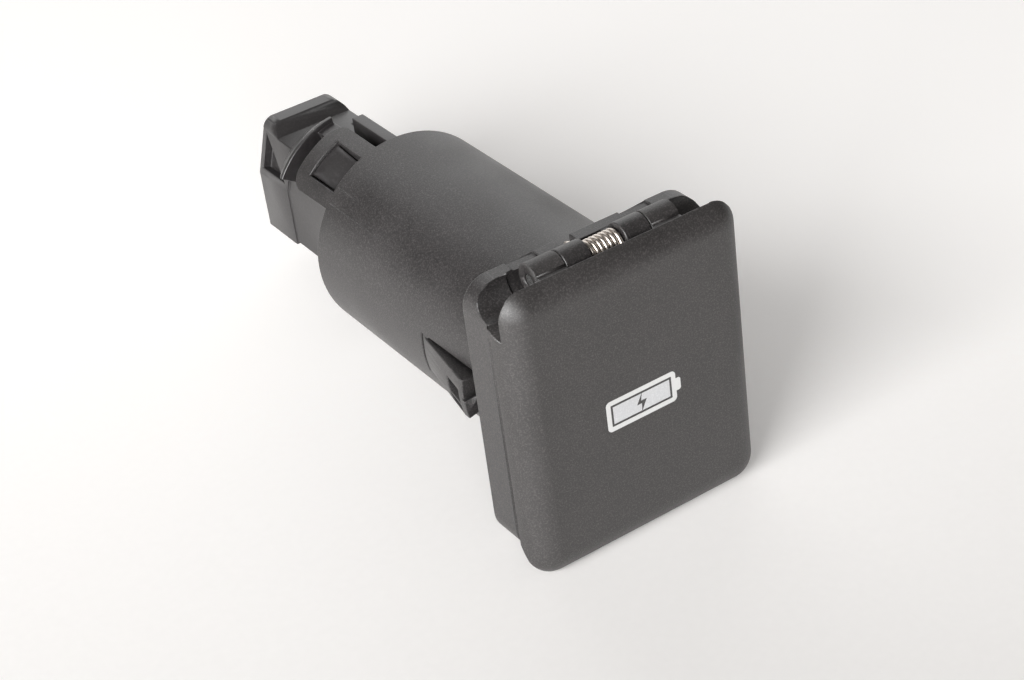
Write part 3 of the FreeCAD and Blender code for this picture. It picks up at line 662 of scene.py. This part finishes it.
def base_and_top(outline):
    """An (x, z) outline at two depths: just behind the lid's face and just in front of it."""
    outline = np.array(outline)
    return [np.insert(outline, 1, LID_FACE + step, axis=1) for step in (FILM, -FILM)]


def printed_band(name, outer, inner):
    """A closed band: outer base, outer top, inner top and inner base are the rows of a grid."""
    rows = base_and_top(outer) + base_and_top(inner)[::-1]
    return closed_piece(name, np.stack(rows), close_rows=True, smooth=False)


def printed_patch(name, outline):
    """A flat patch with the film's thickness: its base and its top are the rows of a grid."""
    return closed_piece(name, np.stack(base_and_top(outline)), smooth=False)


print("print stands proud, mm:", FILM)

# %% [markdown]
# The battery is drawn from its own sizes: a white frame with a terminal, and inside it a silver
# field that the spark cuts in two. The spark is the gap between the halves, so the lid's own black
# shows through it, as on a real print.

# %% The printed sign
LEFT, RIGHT, TOP, BOTTOM = -5.31, 5.01, 0.92, -3.43
BAND, LINE, CORNER, INNER_CORNER = 0.64, 0.32, 0.6, 0.06
TIP, TIP_TOP, TIP_BOTTOM, TIP_CORNER = 5.70, -0.31, -2.07, 0.20
inset = BAND + LINE
left, right, top, bottom = LEFT + inset, RIGHT - inset, TOP - inset, BOTTOM + inset
spark_left = [[-0.12, top], [-0.90, -1.45], [-0.17, -1.45], [-0.23, bottom]]
spark_right = [[-0.14, bottom], [0.64, -1.02], [-0.23, -1.02], [-0.03, top]]
terminal = [[RIGHT, TIP_BOTTOM], [TIP - TIP_CORNER, TIP_BOTTOM], [TIP, TIP_BOTTOM + TIP_CORNER],
            [TIP, TIP_TOP - TIP_CORNER], [TIP - TIP_CORNER, TIP_TOP], [RIGHT, TIP_TOP]]
sign = [
    (printed_band("sign_battery", rounded_rectangle(LEFT, RIGHT, BOTTOM, TOP, CORNER),
                  rounded_rectangle(LEFT + BAND, RIGHT - BAND, BOTTOM + BAND, TOP - BAND,
                                    INNER_CORNER)), "print_white"),
    (printed_patch("sign_terminal", terminal), "print_white"),
    (printed_patch("sign_charge_left", [[left, top]] + spark_left + [[left, bottom]]),
     "print_silver"),
    (printed_patch("sign_charge_right", [[right, bottom]] + spark_right + [[right, top]]),
     "print_silver"),
]
for piece, look in sign:
    dress(piece, look)
    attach(piece, "lid")
print("sign width, mm:", round(TIP - LEFT, 2))

# %% [markdown]
# The socket lies on a white table, on the lid's lower edge and the end of the barrel, so the table
# is tilted against the part's own axes. It is only staging and doesn't belong to the object. A
# white sheet under plain light comes out grey, so to the camera and in reflections it glows a
# little, more on the far side and far away, and keeps the shadow beside the object.

# %% The table
LID_REST, TONGUE_REST, REACH = (-9.2, -20.66), (52.3, -13.98), 5000.0
FAR_SIDE = (0.49, 0.87, 0.0)


def table_top():
    """A plane through the two resting lines: z rises evenly with y."""
    rise = (TONGUE_REST[1] - LID_REST[1]) / (TONGUE_REST[0] - LID_REST[0])
    reach = np.array([[-1, -1], [1, -1], [1, 1], [-1, 1]]) * REACH
    height = LID_REST[1] + rise * (reach[:, 1] - LID_REST[0])
    return np.column_stack([reach, height]), rise


def sheet_glow(tree, place):
    """seen (1 or 0) * the larger of a ramp towards the far side and a ramp with distance."""
    rays = node(tree, "ShaderNodeLightPath").outputs
    seen = combined(tree, "ADD", rays["Is Camera Ray"], rays["Is Glossy Ray"])
    ahead = node(tree, "ShaderNodeVectorMath", {0: place, 1: FAR_SIDE}, operation="DOT_PRODUCT")
    away = node(tree, "ShaderNodeVectorMath", {0: place}, operation="LENGTH")
    near_glow = scaled(tree, ahead.outputs["Value"], -0.04, 0.06, 0.0, 0.27)
    far_glow = scaled(tree, away.outputs["Value"], 0.2, 0.9, 0.0, 0.75)
    return combined(tree, "MULTIPLY", seen, combined(tree, "MAXIMUM", near_glow, far_glow))


corners, rise = table_top()
table = add_mesh("table_top", corners, [[0, 1, 2, 3]])
table_white = bpy.data.materials.new("table_white")
table_white.use_nodes = True
tree = table_white.node_tree
place = node(tree, "ShaderNodeTexCoord").outputs["Object"]
fibre = node(tree, "ShaderNodeTexNoise", {"Vector": place, "Scale": 900.0, "Detail": 3.0})
fill(tree, tree.nodes["Principled BSDF"], {
    "Base Color": mixed(tree, fibre.outputs["Fac"], colour(0.83, 0.815, 0.80),
                        colour(0.86, 0.845, 0.83)),
    "Roughness": 0.7, "Emission Color": colour(1.0, 0.985, 0.975),
    "Emission Strength": sheet_glow(tree, place)})
table.data.materials.append(table_white)
print("table tilt, degrees:", round(math.degrees(math.atan(rise)), 2))

# %% [markdown]
# Soft light shows a black moulding by its reflections: a window at the left draws the light along
# the lid's left edge and throws the shadow to the right, a white wall behind puts a sheen on the
# barrel and the hinge, and a card in front lifts the lid's face. The room adds a little even white.

# %% Light
ROOM_WHITE, ROOM_LEVEL = colour(1.0, 0.955, 0.915), 0.15
world = bpy.data.worlds.new("white_room")
scene.world = world
world.use_nodes = True
fill(world.node_tree, world.node_tree.nodes["Background"],
     {"Color": ROOM_WHITE, "Strength": ROOM_LEVEL})


def set_up(thing, side, up, back, place):
    """Stand a lamp or a camera at a place, with its own x, y and z along side, up and back."""
    turned = np.eye(4)
    turned[:3, :3] = np.column_stack([side, up, back])
    turned[:3, 3] = place
    thing.matrix_world = Matrix(turned.tolist())


def soft_lamp(name, place, aim, width, height, power):
    """A rectangular lamp at one point, turned to face another."""
    lamp = bpy.data.lights.new(name, "AREA")
    lamp.shape = "RECTANGLE"
    lamp.size = width
    lamp.size_y = height
    lamp.energy = power
    back = np.array(place, dtype=float) - np.array(aim, dtype=float)
    back /= np.linalg.norm(back)
    side = np.cross([0, 0, 1.0], back)
    side /= np.linalg.norm(side)
    set_up(add_object(name, lamp), side, np.cross(back, side), back, place)


soft_lamp("window_left", place=(-0.80, -0.30, 0.42), aim=(0, 0.02, 0),
          width=0.6, height=0.6, power=13.0)
soft_lamp("white_wall_behind", place=(0.45, 1.10, 0.62), aim=(0, 0.02, 0),
          width=1.5, height=1.1, power=6.0)
soft_lamp("card_in_front", place=(-0.45, -0.75, 0.20), aim=(0, 0, 0),
          width=0.5, height=0.4, power=3.0)
print("lamps:", [light.name for light in bpy.data.lights])

# %% [markdown]
# The photograph was taken from above the lid's left corner. Its viewpoint is written as the
# camera's place and three axes; the lens follows from how fast the barrel shrinks towards its far
# end.

# %% Camera
VIEW_RIGHT = np.array([0.82428284, -0.55380471, -0.11772066])
VIEW_DOWN = np.array([-0.3881662, -0.40140539, -0.82957863])
VIEW_AHEAD = np.array([0.41217085, 0.72950261, -0.54583984])
VIEW_PLACE = np.array([-123.053, -199.057, 156.286])
SENSOR_WIDTH, FOCAL_LENGTH, NEAREST = 36.0, 80.19, 0.01

lens = bpy.data.cameras.new("viewpoint")
lens.sensor_width = SENSOR_WIDTH
lens.lens = FOCAL_LENGTH
lens.clip_start = NEAREST
camera = add_object("viewpoint", lens)
set_up(camera, VIEW_RIGHT, -VIEW_DOWN, -VIEW_AHEAD, VIEW_PLACE * MM)
bpy.context.scene.camera = camera
bpy.context.scene.view_settings.view_transform = "Standard"
print("camera distance, mm:", round(float(np.linalg.norm(VIEW_PLACE)), 1))
